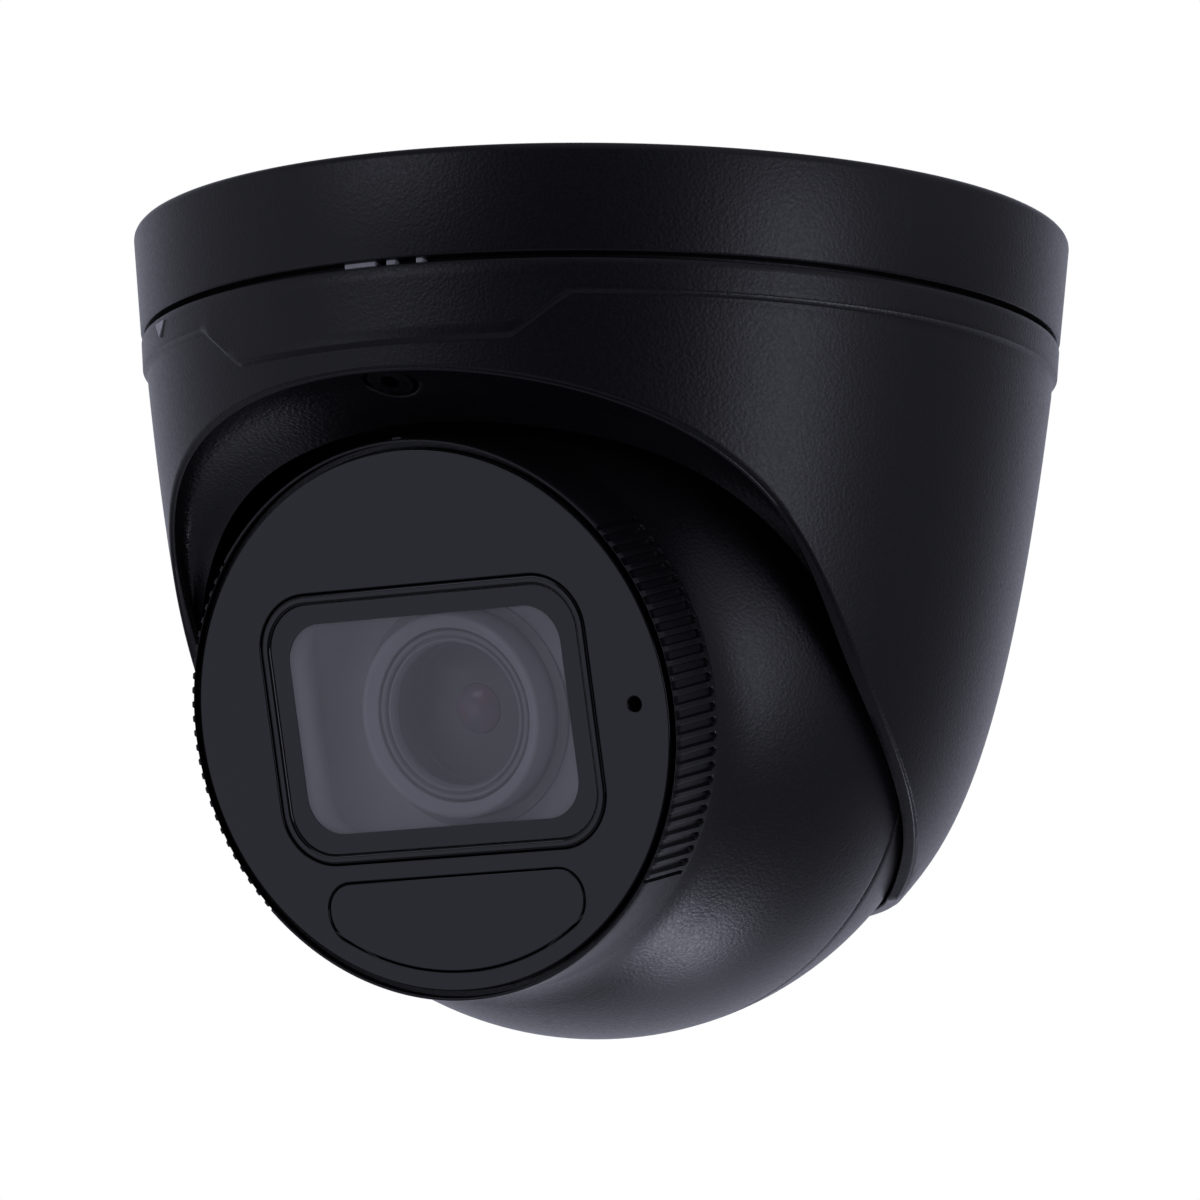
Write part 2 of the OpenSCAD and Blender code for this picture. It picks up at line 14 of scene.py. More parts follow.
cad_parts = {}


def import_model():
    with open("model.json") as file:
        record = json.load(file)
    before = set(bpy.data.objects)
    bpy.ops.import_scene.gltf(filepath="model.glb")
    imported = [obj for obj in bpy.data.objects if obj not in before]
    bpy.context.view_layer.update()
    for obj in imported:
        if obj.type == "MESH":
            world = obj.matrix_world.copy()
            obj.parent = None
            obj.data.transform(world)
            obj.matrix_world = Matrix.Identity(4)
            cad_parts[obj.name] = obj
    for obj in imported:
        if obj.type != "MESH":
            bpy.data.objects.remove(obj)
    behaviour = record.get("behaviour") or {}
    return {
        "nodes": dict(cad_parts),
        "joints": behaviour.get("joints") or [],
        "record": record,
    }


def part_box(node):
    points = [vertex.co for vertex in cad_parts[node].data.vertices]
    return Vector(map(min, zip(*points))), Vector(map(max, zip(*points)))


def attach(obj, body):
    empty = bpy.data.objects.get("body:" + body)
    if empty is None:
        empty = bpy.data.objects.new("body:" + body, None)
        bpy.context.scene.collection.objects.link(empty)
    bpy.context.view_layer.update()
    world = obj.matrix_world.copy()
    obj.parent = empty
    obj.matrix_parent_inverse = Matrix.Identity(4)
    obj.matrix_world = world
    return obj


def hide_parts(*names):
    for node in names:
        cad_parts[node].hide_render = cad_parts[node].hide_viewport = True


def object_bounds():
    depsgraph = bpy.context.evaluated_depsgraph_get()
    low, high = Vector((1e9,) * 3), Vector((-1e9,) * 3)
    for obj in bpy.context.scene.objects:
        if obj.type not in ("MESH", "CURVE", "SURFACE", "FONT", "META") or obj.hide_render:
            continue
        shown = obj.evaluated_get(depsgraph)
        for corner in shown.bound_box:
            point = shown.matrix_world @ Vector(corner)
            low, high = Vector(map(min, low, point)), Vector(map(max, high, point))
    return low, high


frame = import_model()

cad_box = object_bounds()

MM = 0.001
JOINTS = {j["name"]: j for j in frame["joints"]}
CENTRE = Vector(JOINTS["tilt"]["pos_m"])
AXIS = Vector(JOINTS["roll"]["axis"]).normalized()
FACE_UP = AXIS.cross(Vector((1, 0, 0))).normalized()
BALL = Matrix.Translation(CENTRE) @ Matrix(
    ((1, FACE_UP.x, AXIS.x), (0, FACE_UP.y, AXIS.y), (0, FACE_UP.z, AXIS.z))
).to_4x4()
WORLD = Matrix.Identity(4)


# ---- sizes read from the frame ----

def ball_span(node):
    """Lowest and highest distance along the optical axis, and the largest radius, in mm."""
    co = np.array([v.co for v in frame["nodes"][node].data.vertices])
    local = (co - np.array(CENTRE)) @ np.array([(1, 0, 0), FACE_UP, AXIS]).T / MM
    radius = np.hypot(local[:, 0], local[:, 1]).max()
    return local[:, 2].min(), local[:, 2].max(), radius


def heights(node):
    """Lowest and highest Z of a CAD node, in mm."""
    low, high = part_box(node)
    return low.z / MM, high.z / MM


PANEL_BACK, FACE_S, FACE_R = ball_span("face_panel")
NECK_BORE = 34.0
LEDGE_S = ball_span("chassis_plate")[1] - 10
BALL_Z = CENTRE.z / MM
BALL_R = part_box("ball_rear_shell")[1].x / MM
LENS_LOW, LENS_FRONT, LENS_R = ball_span("lens_front_ring")
BASE_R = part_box("mounting_base")[1].x / MM
COVER_TOP = heights("dome_cover")[1]
LIP_Z = heights("dome_cover")[0]


# ---- curves and outlines ----

# Bezier curves: the opening's edge as (y, z) seen from the side, the cover's side as (radius, z)
OPENING = [(-60.8, -28.2), (-13.9, -48.6), (-36.9, -64.2), (23.4, -92.3)]
PROFILE = [(61.65, -20.6), (54.8, -77.4), (46.9, -83.7), (39.7, -92.3)]


def cubic(points, t):
    """A point on the Bezier curve with four control points."""
    a, b, c, d = (np.array(p) for p in points)
    return (1 - t) ** 3 * a + 3 * t * (1 - t) ** 2 * b + 3 * t * t * (1 - t) * c + t**3 * d


def table_of(points, steps=400):
    """Points all along a Bezier curve."""
    return np.array([cubic(points, i / steps) for i in range(steps + 1)])


PROFILE_TABLE = table_of(PROFILE)[::-1]
OPENING_TABLE = table_of(OPENING)


def cover_radius(z):
    """Outer radius of the cover below its band, at a height in mm."""
    if z > PROFILE[0][1]:
        return PROFILE[0][0]
    return float(np.interp(z, PROFILE_TABLE[:, 1], PROFILE_TABLE[:, 0]))


def opening_height(azimuth, inset=0.0):
    """Height where the cover's surface, moved in by inset, meets the opening."""
    a = abs((azimuth + math.pi) % (2 * math.pi) - math.pi)
    before = None
    for y, z in OPENING_TABLE:
        inside = y + (cover_radius(z) - inset) * math.cos(a)
        if inside > 0 and before:
            z = before[0] + (z - before[0]) * before[1] / (before[1] - inside)
        if inside > 0:
            return max(z, LIP_Z)
        before = (z, inside)
    return LIP_Z


def arc(cx, cy, r, start, end, steps):
    """Points on an arc, angles in degrees."""
    turn = [math.radians(start + (end - start) * i / steps) for i in range(steps + 1)]
    return [(cx + r * math.cos(a), cy + r * math.sin(a)) for a in turn]


def filleted(points, radii, steps=5):
    """A closed outline whose corners are rounded, one radius for each point."""
    out, n = [], len(points)
    for i in range(n):
        p, q, s = (Vector(points[(i + k) % n]) for k in (-1, 0, 1))
        r = radii if isinstance(radii, (int, float)) else radii[i]
        u, w = (p - q), (s - q)
        reach = min(u.length, w.length) * 0.49
        u.normalize()
        w.normalize()
        half = math.acos(max(-1, min(1, u.dot(w)))) / 2
        if r <= 0 or abs(half - math.pi / 2) < 0.02:
            out.append(tuple(q))
            continue
        cut = min(r / math.tan(half), reach)
        r = cut * math.tan(half)
        middle = q + (u + w).normalized() * (r / math.sin(half))
        a, b = q + u * cut - middle, q + w * cut - middle
        sweep = math.atan2(a.x * b.y - a.y * b.x, a.dot(b))
        first = math.atan2(a.y, a.x)
        for k in range(steps + 1):
            t = first + sweep * k / steps
            out.append((middle.x + r * math.cos(t), middle.y + r * math.sin(t)))
    return out


def rounded_rectangle(half_x, half_y, r, steps=14):
    corners = [(half_x, half_y, 0), (-half_x, half_y, 90),
               (-half_x, -half_y, 180), (half_x, -half_y, 270)]
    out = []
    for x, y, start in corners:
        cx, cy = x - math.copysign(r, x), y - math.copysign(r, y)
        out += arc(cx, cy, r, start, start + 90, steps)
    return out


def circle(r, steps=160, cx=0.0, cy=0.0):
    return arc(cx, cy, r, 0, 360 - 360 / steps, steps - 1)


IR_TOP, IR_HALF, IR_LOW, IR_CORNER, IR_SHOULDER = -20.7, 19.7, 33.4, 4.5, 3.6


def infrared_outline(grow):
    """Flat top, rounded shoulders, and a bottom that follows the face's rim."""
    half, low, r = IR_HALF + grow, IR_LOW + grow, IR_CORNER + grow
    x = half - r
    y = -math.sqrt((low - r) ** 2 - x * x)
    lean = math.degrees(math.atan2(y, x))
    top, s = IR_TOP + grow, IR_SHOULDER + grow
    return (arc(half - s, top - s, s, 0, 90, 10) + arc(s - half, top - s, s, 90, 180, 10)
            + arc(-x, y, r, 180, 180 - lean, 12) + arc(0, 0, low, 180 - lean, 360 + lean, 40)
            + arc(x, y, r, lean, 0, 12))


# ---- mesh building ----

def new_object(name, mesh):
    obj = bpy.data.objects.new(name, mesh)
    bpy.context.scene.collection.objects.link(obj)
    return obj


def finish_mesh(obj, place, sharp=35):
    """Moves a new mesh into place and sets its normals and its sharp edges, sharp in degrees."""
    obj.data.transform(place)
    bm = bmesh.new()
    bm.from_mesh(obj.data)
    bmesh.ops.remove_doubles(bm, verts=bm.verts, dist=1e-7)
    bmesh.ops.recalc_face_normals(bm, faces=bm.faces)
    bm.to_mesh(obj.data)
    bm.free()
    obj.data.shade_smooth()
    obj.data.set_sharp_from_angle(angle=math.radians(sharp))
    return obj


def grid(name, rows, place=WORLD, closed_rows=True, closed_columns=True, sharp=35):
    """A surface through rows of points in mm, each row the same length."""
    points = np.array(rows, float) * MM
    n, m = points.shape[:2]
    faces = []
    for i in range(n if closed_rows else n - 1):
        for j in range(m if closed_columns else m - 1):
            a, b = (i + 1) % n, (j + 1) % m
            faces.append((i * m + j, i * m + b, a * m + b, a * m + j))
    mesh = bpy.data.meshes.new(name)
    mesh.from_pydata(points.reshape(-1, 3).tolist(), [], faces)
    return finish_mesh(new_object(name, mesh), place, sharp)


def lathe(name, outline, place=WORLD, turns=240, closed=True, sharp=35, radius=None):
    """Turns an outline of (radius, height) round Z, at even steps or at a list of angles in
    degrees. radius may change the outline with the angle."""
    angles = [360 * k / turns for k in range(turns)] if isinstance(turns, int) else turns
    rows = []
    for r, z in outline:
        row = []
        for degrees in angles:
            a = math.radians(degrees)
            q = r if radius is None else radius(r, z, degrees)
            row.append((q * math.cos(a), q * math.sin(a), z))
        rows.append(row)
    return grid(name, rows, place, closed_rows=closed, sharp=sharp)


def plate(name, outlines, low, high, bevel, place=BALL, sharp=30):
    """A flat plate with rounded edges. The first outline is its rim, the others are holes."""
    curve = bpy.data.curves.new(name, "CURVE")
    curve.dimensions = "2D"
    curve.fill_mode = "BOTH"
    curve.extrude = ((high - low) / 2 - bevel) * MM
    curve.bevel_depth = bevel * MM
    curve.bevel_resolution = 3
    for number, outline in enumerate(outlines):
        inward = bevel if number == 0 else -bevel
        spline = curve.splines.new("POLY")
        pts = inset_outline(outline, inward)
        spline.points.add(len(pts) - 1)
        for p, (x, y) in zip(spline.points, pts):
            p.co = (x * MM, y * MM, 0, 1)
        spline.use_cyclic_u = True
    holder = new_object(name + "_curve", curve)
    graph = bpy.context.evaluated_depsgraph_get()
    mesh = bpy.data.meshes.new_from_object(holder.evaluated_get(graph))
    bpy.data.objects.remove(holder)
    obj = new_object(name, mesh)
    obj.data.name = name
    finish_mesh(obj, place @ Matrix.Translation((0, 0, (low + high) / 2 * MM)), sharp)
    return shade_flat_faces(obj, place.to_3x3().col[2].normalized())


def shade_flat_faces(obj, up):
    """Faces square to a direction are shaded flat, so that long triangles don't show."""
    for p in obj.data.polygons:
        p.use_smooth = abs(p.normal.dot(up)) < 0.9995
    return obj


def inset_outline(outline, distance):
    """Moves a closed outline inwards by a distance, whichever way round it runs."""
    n = len(outline)
    area = sum(outline[i][0] * outline[(i + 1) % n][1] - outline[(i + 1) % n][0] * outline[i][1]
               for i in range(n))
    side = math.copysign(1, area)
    out = []
    for i in range(n):
        p, s = Vector(outline[i - 1]), Vector(outline[(i + 1) % n])
        d = (s - p).normalized()
        out.append((outline[i][0] - d.y * side * distance, outline[i][1] + d.x * side * distance))
    return out


def apply_modifiers(obj):
    graph = bpy.context.evaluated_depsgraph_get()
    mesh = bpy.data.meshes.new_from_object(obj.evaluated_get(graph))
    obj.modifiers.clear()
    obj.data = mesh


def cut(obj, cutters, sharp=35):
    """Takes the cutters' solids away from an object, and deletes them."""
    for cutter in cutters:
        step = obj.modifiers.new("cut", "BOOLEAN")
        step.operation = "DIFFERENCE"
        step.solver = "EXACT"
        step.object = cutter
    apply_modifiers(obj)
    for cutter in cutters:
        bpy.data.objects.remove(cutter)
    obj.data.set_sharp_from_angle(angle=math.radians(sharp))
    return obj


def rod(r, low, high, place=WORLD, turns=64):
    """A plain cylinder, used only to cut holes."""
    outline = [(0, low), (r, low), (r, high), (0, high)]
    return lathe("cutter", outline, place, turns, closed=False)


def mount(obj, body, material, slot, *nodes):
    """Gives a piece its material, parents it to the body it rides on, and hides the CAD nodes it stands
    in for.
    """
    obj.data.materials.clear()
    obj.data.materials.append(material)
    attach(obj, body)
    if nodes:
        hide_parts(*nodes)
    return obj


# ---- materials ----

class Shader:
    """A small helper round one material's node tree."""

    def __init__(self, name):
        self.material = bpy.data.materials.new(name)
        self.material.use_nodes = True
        self.tree = self.material.node_tree
        self.bsdf = self.tree.nodes["Principled BSDF"]
        self.where = self.tree.nodes.new("ShaderNodeTexCoord").outputs["Object"]

    def set(self, **values):
        for key, value in values.items():
            self.bsdf.inputs[key.replace("_", " ")].default_value = value
        return self

    def noise(self, scale, detail=2.0, stretch=None):
        vector = self.where
        if stretch:
            mapping = self.tree.nodes.new("ShaderNodeMapping")
            mapping.inputs["Scale"].default_value = stretch
            self.tree.links.new(self.where, mapping.inputs["Vector"])
            vector = mapping.outputs["Vector"]
        node = self.tree.nodes.new("ShaderNodeTexNoise")
        node.inputs["Scale"].default_value = scale
        node.inputs["Detail"].default_value = detail
        self.tree.links.new(vector, node.inputs["Vector"])
        return node.outputs["Fac"]

    def cells(self, scale):
        node = self.tree.nodes.new("ShaderNodeTexVoronoi")
        node.feature = "SMOOTH_F1"
        node.inputs["Scale"].default_value = scale
        self.tree.links.new(self.where, node.inputs["Vector"])
        return node.outputs["Distance"]

    def span(self, value, low, high, from_low=0.3, from_high=0.7):
        node = self.tree.nodes.new("ShaderNodeMapRange")
        node.inputs["From Min"].default_value = from_low
        node.inputs["From Max"].default_value = from_high
        node.inputs["To Min"].default_value = low
        node.inputs["To Max"].default_value = high
        self.tree.links.new(value, node.inputs["Value"])
        return node.outputs["Result"]

    def colour(self, value, dark, light):
        node = self.tree.nodes.new("ShaderNodeMix")
        node.data_type = "RGBA"
        node.inputs["A"].default_value = (*dark, 1)
        node.inputs["B"].default_value = (*light, 1)
        self.tree.links.new(value, node.inputs["Factor"])
        self.tree.links.new(node.outputs["Result"], self.bsdf.inputs["Base Color"])
        return self

    def rough(self, value, low, high):
        self.tree.links.new(self.span(value, low, high), self.bsdf.inputs["Roughness"])
        return self

    def bump(self, *layers):
        """Each layer is (height, distance in mm, strength)."""
        normal = None
        for height, distance, strength in layers:
            node = self.tree.nodes.new("ShaderNodeBump")
            node.inputs["Distance"].default_value = distance * MM
            node.inputs["Strength"].default_value = strength
            self.tree.links.new(height, node.inputs["Height"])
            if normal:
                self.tree.links.new(normal, node.inputs["Normal"])
            normal = node.outputs["Normal"]
        self.tree.links.new(normal, self.bsdf.inputs["Normal"])
        return self


def grained_black(name, dark, light, rough, grain, depth):
    """Black satin coat or moulded plastic with a fine leathery grain."""
    s = Shader(name)
    wide = s.noise(60, 3)
    fine = s.noise(grain, 3)
    s.colour(s.span(wide, 0, 1), dark, light)
    s.rough(fine, rough - 0.04, rough + 0.06)
    s.bump((s.cells(grain), depth, 0.6), (fine, depth * 0.6, 0.5))
    return s.material


def glossy_black(name, rough=0.07):
    """Polished acrylic with a faint haze of wipe marks."""
    s = Shader(name)
    smear = s.noise(35, 4, (1, 3, 1))
    s.colour(s.span(smear, 0, 1), (0.0035, 0.0035, 0.0045), (0.006, 0.006, 0.0075))
    s.rough(smear, rough - 0.02, rough + 0.04)
    s.bump((s.noise(9, 2), 0.02, 0.25))
    s.set(IOR=1.5)
    return s.material


def soft_rubber(name):
    """Matt black rubber."""
    s = Shader(name)
    s.colour(s.span(s.noise(300, 3), 0, 1), (0.010, 0.010, 0.011), (0.022, 0.022, 0.023))
    s.rough(s.noise(600), 0.7, 0.85)
    s.bump((s.noise(2500, 3), 0.05, 0.5))
    return s.material


def bare_metal(name, dark, light, rough, stretch=(1, 1, 12)):
    """Turned or drawn metal, brushed one way."""
    s = Shader(name)
    lines = s.noise(900, 3, stretch)
    s.colour(s.span(lines, 0, 1), dark, light)
    s.rough(lines, rough - 0.07, rough + 0.1)
    s.bump((lines, 0.01, 0.4))
    s.set(Metallic=1.0)
    return s.material


def plain_plastic(name, dark, light, rough, grain=1500):
    """Moulded plastic with a slight unevenness of colour and a fine grain."""
    s = Shader(name)
    s.colour(s.span(s.noise(90, 3), 0, 1), dark, light)
    s.rough(s.noise(grain), rough - 0.05, rough + 0.08)
    s.bump((s.noise(grain, 3), 0.03, 0.4))
    return s.material


def circuit_board(name):
    """Solder mask with copper tracks faintly showing through."""
    s = Shader(name)
    wave = s.tree.nodes.new("ShaderNodeTexWave")
    wave.inputs["Scale"].default_value = 260
    wave.inputs["Distortion"].default_value = 6
    s.tree.links.new(s.where, wave.inputs["Vector"])
    tracks = s.span(wave.outputs["Fac"], 0, 1, 0.55, 0.65)
    s.colour(tracks, (0.004, 0.035, 0.016), (0.012, 0.085, 0.04))
    s.rough(s.noise(800), 0.25, 0.4)
    s.bump((tracks, 0.03, 0.5))
    return s.material


def pane_with_painted_reflection(name, painted_reflection_tint, alpha, rough=0.03):
    """Thin clear pane whose pale grey tint is a painted reflection of the bright room, varied a little
    by noise.
    """
    s = Shader(name)
    # The pale grey tint with alpha is a painted reflection of the bright room in the pane; the noise
    # varies it and the roughness.
    reflection_noise = s.noise(40, 3)
    s.colour(s.span(reflection_noise, 0, 1), painted_reflection_tint, tuple(c * 1.12 for c in painted_reflection_tint))
    s.rough(reflection_noise, rough, rough + 0.03)
    s.set(Alpha=alpha, IOR=1.5)
    return s.material


def coated_glass(name, dark, light, alpha):
    """Lens glass with an anti-reflection coating. Light colours given to it, as for the pupil, are a
    painted reflection of the coating.
    """
    s = Shader(name)
    s.colour(s.span(s.noise(400, 2), 0, 1), dark, light)
    s.rough(s.noise(400), 0.02, 0.05)
    s.set(IOR=1.5, Coat_Weight=0.4, Coat_Roughness=0.03, Alpha=alpha)
    return s.material


def printed(name):
    """Pale printing ink."""
    s = Shader(name)
    s.colour(s.span(s.noise(900, 3), 0, 1), (0.66, 0.66, 0.69), (0.78, 0.78, 0.81))
    s.rough(s.noise(1500), 0.5, 0.65)
    s.bump((s.noise(2600), 0.02, 0.4))
    return s.material


COAT = grained_black("black_coat", (0.0070, 0.0070, 0.0085), (0.0082, 0.0082, 0.0098), 0.36, 2300, 0.045)
COARSE = grained_black("coarse_grain", (0.008, 0.008, 0.010), (0.011, 0.011, 0.013), 0.30, 2000, 0.09)
BAFFLE = plain_plastic("pale_baffle", (0.66, 0.66, 0.68), (0.74, 0.74, 0.76), 0.6, 900)
PALE_RING = plain_plastic("pale_ring", (0.60, 0.60, 0.65), (0.70, 0.70, 0.75), 0.35, 2200)
PLASTIC = plain_plastic("black_plastic", (0.008, 0.008, 0.010), (0.013, 0.013, 0.015), 0.45)
GLOSS = glossy_black("gloss_panel")
RUBBER = soft_rubber("rubber")
STEEL = bare_metal("zinc_steel", (0.33, 0.33, 0.34), (0.5, 0.5, 0.51), 0.34)
ALLOY = bare_metal("bare_alloy", (0.42, 0.42, 0.43), (0.6, 0.6, 0.61), 0.4, (1, 1, 1))
SCREW = bare_metal("black_screw", (0.02, 0.02, 0.022), (0.035, 0.035, 0.04), 0.4, (1, 1, 1))
BRASS = bare_metal("brass", (0.45, 0.3, 0.1), (0.62, 0.44, 0.18), 0.3)
ACETAL = plain_plastic("bearing_plastic", (0.45, 0.45, 0.42), (0.55, 0.55, 0.52), 0.5)
GREY = plain_plastic("inner_grey", (0.10, 0.10, 0.11), (0.13, 0.13, 0.14), 0.55, 900)
BOARD = circuit_board("board")
CHIP = plain_plastic("chip", (0.012, 0.012, 0.014), (0.02, 0.02, 0.022), 0.4, 2500)
# The window pane's pale grey tint is a painted reflection of the room.
WINDOW_PAINTED_REFLECTION = pane_with_painted_reflection("window_glass_painted_reflection", (0.66, 0.66, 0.66), 0.19)
LENS_GLASS = coated_glass("lens_glass", (0.030, 0.036, 0.030), (0.036, 0.042, 0.036), 0.10)
# The pupil's opaque pale violet and pink is a painted reflection of its coating, not the glass's own
# colour.
PUPIL_PAINTED_REFLECTION = coated_glass("pupil_painted_reflection", (0.52, 0.50, 0.60), (0.80, 0.44, 0.56), 1.0)
RING_GREY = plain_plastic("ring_grey", (0.40, 0.40, 0.43), (0.47, 0.47, 0.50), 0.35, 2200)
BARREL = plain_plastic("lens_barrel", (0.42, 0.45, 0.43), (0.48, 0.51, 0.49), 0.5)
PRINT = printed("pale_print")

BY_NODE = {"lens_shroud": BAFFLE, "lens_housing": BARREL}
BY_SLOT = {
    "black_coat": COAT, "black_plastic": PLASTIC, "pale_print": PRINT, "rubber": RUBBER,
    "zinc_steel": STEEL, "bare_alloy": ALLOY, "brass": BRASS, "bearing_plastic": ACETAL,
    "gloss_panel": GLOSS, "black_screw": SCREW, "clear_glass": LENS_GLASS,
    "inner_grey": GREY, "board": BOARD, "chip": CHIP,
}


EDGE_SOFTNESS = 0.12


def dress_frame():
    """Gives every carried-over CAD node its finish, and softens its edges."""
    slots = {p["node"]: p["material_slot"] for p in frame["record"]["subparts"]}
    for node, obj in frame["nodes"].items():
        obj.data.materials.clear()
        obj.data.materials.append(BY_NODE.get(node, BY_SLOT[slots[node]]))
        edge = obj.modifiers.new("soft_edge", "BEVEL")
        edge.width = EDGE_SOFTNESS * MM
        edge.segments = 2
        edge.limit_method = "ANGLE"
        edge.angle_limit = math.radians(40)
        edge.harden_normals = False


# ---- base ----

BASE_H, BASE_TAPER, BASE_BORE = 14.3, 1.3, 60.4
INLET_R = 9.5
GASKET_IN, GASKET_OUT, GASKET_DEPTH = 53.5, 57.5, 1.2
HUB_IN, HUB_OUT = 40, 44
SCREW_CIRCLE_R, SCREW_HOLE_R = 51, 2.3
SCREW_ANGLES = (90, 210, 330)


def mounting_base():
    """A plate with a ring wall below it, a gasket groove on top and a hub that the cover turns on."""
    low = heights("mounting_base")[0]
    plate_low = heights("cable_grommet")[0] + 1.4
    outline = filleted(
        [(INLET_R, 0), (GASKET_IN, 0), (GASKET_IN, -GASKET_DEPTH), (GASKET_OUT, -GASKET_DEPTH),
         (GASKET_OUT, 0), (BASE_R, 0), (BASE_R - BASE_TAPER, -BASE_H), (BASE_BORE, -BASE_H),
         (BASE_BORE, plate_low), (HUB_OUT, plate_low), (HUB_OUT, low), (HUB_IN, low),
         (HUB_IN, plate_low), (INLET_R, plate_low)],
        [0.2, 0.2, 0.2, 0.2, 0.2, 1.1, 0.45, 0.2, 0.5, 0.8, 0.3, 0.3, 0.8, 0.2])
    body = lathe("mounting_base_casting", outline, turns=288)
    holes = [rod(SCREW_HOLE_R, -10, 5, Matrix.Rotation(math.radians(a), 4, "Z")
                 @ Matrix.Translation((SCREW_CIRCLE_R * MM, 0, 0)), 40) for a in SCREW_ANGLES]
    shade_flat_faces(cut(body, holes), Vector((0, 0, 1)))
    mount(body, "base", COAT, "black_coat", "mounting_base")


def index_ring():
    """The dark ring in the gap between the base and the cover."""
    low, high = heights("index_ring")
    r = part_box("index_ring")[1].x / MM
    outline = filleted([(r - 1.9, low), (r, low), (r, high), (r - 1.9, high)], 0.25)
    mount(lathe("index_ring_moulding", outline), "base", PLASTIC, "black_plastic", "index_ring")


# ---- cover ----

BAND_Z, BAND_DIP_Z = -19.2, -24.9
BAND_PROUD, BAND_EDGE = 0.7, 0.55
DIP_START, DIP_END = math.radians(20.0), math.radians(27.5)
BAND_TOP_R, BAND_DIP_SOFT = 62.6, 0.12
WALL, EDGE_WALL, EDGE_ROUND = 2.0, 0.8, 0.4
INNER_TOP = 60.9
# The turntable ring's seat in the cover's wall
SEAT_R, SEAT_Z, TABLE_LOW = 59.65, -20.6, -19.5
BALL_GAP = 0.55


def smooth_step(t):
    """Rises smoothly from 0 to 1 as t does, and stays there."""
    t = max(0.0, min(1.0, t))
    return t * t * (3 - 2 * t)


def band_edge(azimuth):
    """Height of the band's lower edge, which dips at the front."""
    a = abs((azimuth + math.pi) % (2 * math.pi) - math.pi)
    t = (a - DIP_START) / (DIP_END - DIP_START)
    t = max(0.0, min(1.0, t))
    t = t + BAND_DIP_SOFT * (smooth_step(t) - t)
    return BAND_DIP_Z + (BAND_Z - BAND_DIP_Z) * t


def inner_radius(z, wall=WALL):
    """Radius of the cover's inner wall, which always clears the ball."""
    clear = (BALL_R + BALL_GAP) ** 2 - (z - BALL_Z) ** 2
    return max(cover_radius(z) - wall, math.sqrt(max(0.0, clear)))


def edge_wall(azimuth):
    """Thickness of the wall at the opening's edge, thin where the recess liner takes over."""
    a = abs((azimuth + math.pi) % (2 * math.pi) - math.pi)
    return EDGE_WALL + (WALL - EDGE_WALL) * smooth_step((math.degrees(a) - 52) / 20)


def cover_section(azimuth):
    """Closed outline (radius, height) of the cover's wall at one azimuth from the front."""
    edge = band_edge(azimuth)
    end = opening_height(azimuth)
    thin = edge_wall(azimuth)
    end_in = opening_height(azimuth, thin)
    top = COVER_TOP
    out = [(INNER_TOP, top - 0.3), (INNER_TOP + 0.3, top), (BAND_TOP_R - 0.5, top),
           (BAND_TOP_R - 0.15, top - 0.15), (BAND_TOP_R, top - 0.5)]
    band_low_r = cover_radius(edge) + BAND_PROUD
    for k in range(1, 7):
        z = top - 0.5 + (edge + 0.15 - top + 0.5) * k / 6
        t = (top - 0.5 - z) / (top - 0.5 - edge)
        out.append((BAND_TOP_R + (band_low_r - BAND_TOP_R) * t, z))
    foot = cover_radius(edge - BAND_EDGE)
    out += [(band_low_r - 0.08, edge), (band_low_r - 0.2, edge - 0.06),
            (foot + 0.06, edge - BAND_EDGE + 0.04), (foot, edge - BAND_EDGE - 0.08)]
    start = edge - BAND_EDGE - 0.08
    for k in range(1, 41):
        z = start + (end + EDGE_ROUND - start) * k / 40
        out.append((cover_radius(z), z))
    r_end, r_in = cover_radius(end), inner_radius(end_in, thin)
    for k in range(1, 5):
        a = math.radians(90 * k / 4)
        out.append((r_end - EDGE_ROUND * (1 - math.cos(a)), end + EDGE_ROUND * (1 - math.sin(a))))
    out.append((r_end * 0.5 + r_in * 0.5, (end + end_in) / 2))
    out += [(r_in + 0.2, end_in), (r_in + 0.06, end_in + 0.08), (r_in, end_in + 0.35)]
    for k in range(1, 31):
        z = end_in + 0.35 + (TABLE_LOW - 0.2 - end_in - 0.35) * (k / 30) ** 1.6
        wall = min(WALL, thin + 0.6 * (z - end_in))
        out.append((inner_radius(z, wall) if z < SEAT_Z else SEAT_R, z))
    out += [(SEAT_R + 0.1, TABLE_LOW), (INNER_TOP - 0.1, TABLE_LOW), (INNER_TOP, TABLE_LOW + 0.2)]
    return out


def azimuths():
    """Azimuths from the front, finer where the edge and the band turn."""
    found, a = [], -180.0
    while a < 180:
        found.append(math.radians(a))
        a += 0.5 if abs(a) < 30 else 0.8 if abs(a) < 125 else 1.5
    return found


def dome_cover():
    """The cover's casting: its wall's section at every azimuth, joined up."""
    columns = []
    for a in azimuths():
        s, c = math.sin(a), -math.cos(a)
        columns.append([(r * s, r * c, z) for r, z in cover_section(a)])
    body = grid("dome_cover_casting", columns, sharp=32)
    return mount(body, "cover", COAT, "black_coat", "dome_cover")


# The liner's thickness, half its span in degrees, how far it falls inwards and how hollow it is
LINER_THICK, LINER_WIDEST, LINER_DROP, LINER_BOWL = 1.4, 68.0, 4.6, 4.6
# The reach of the ball's neck as the ball tilts and rolls, with clearance
NECK_SWEEP_R = 54.5
WELL_R, WELL_OUT, WELL_TOP = 3.8, 4.6, 9.5


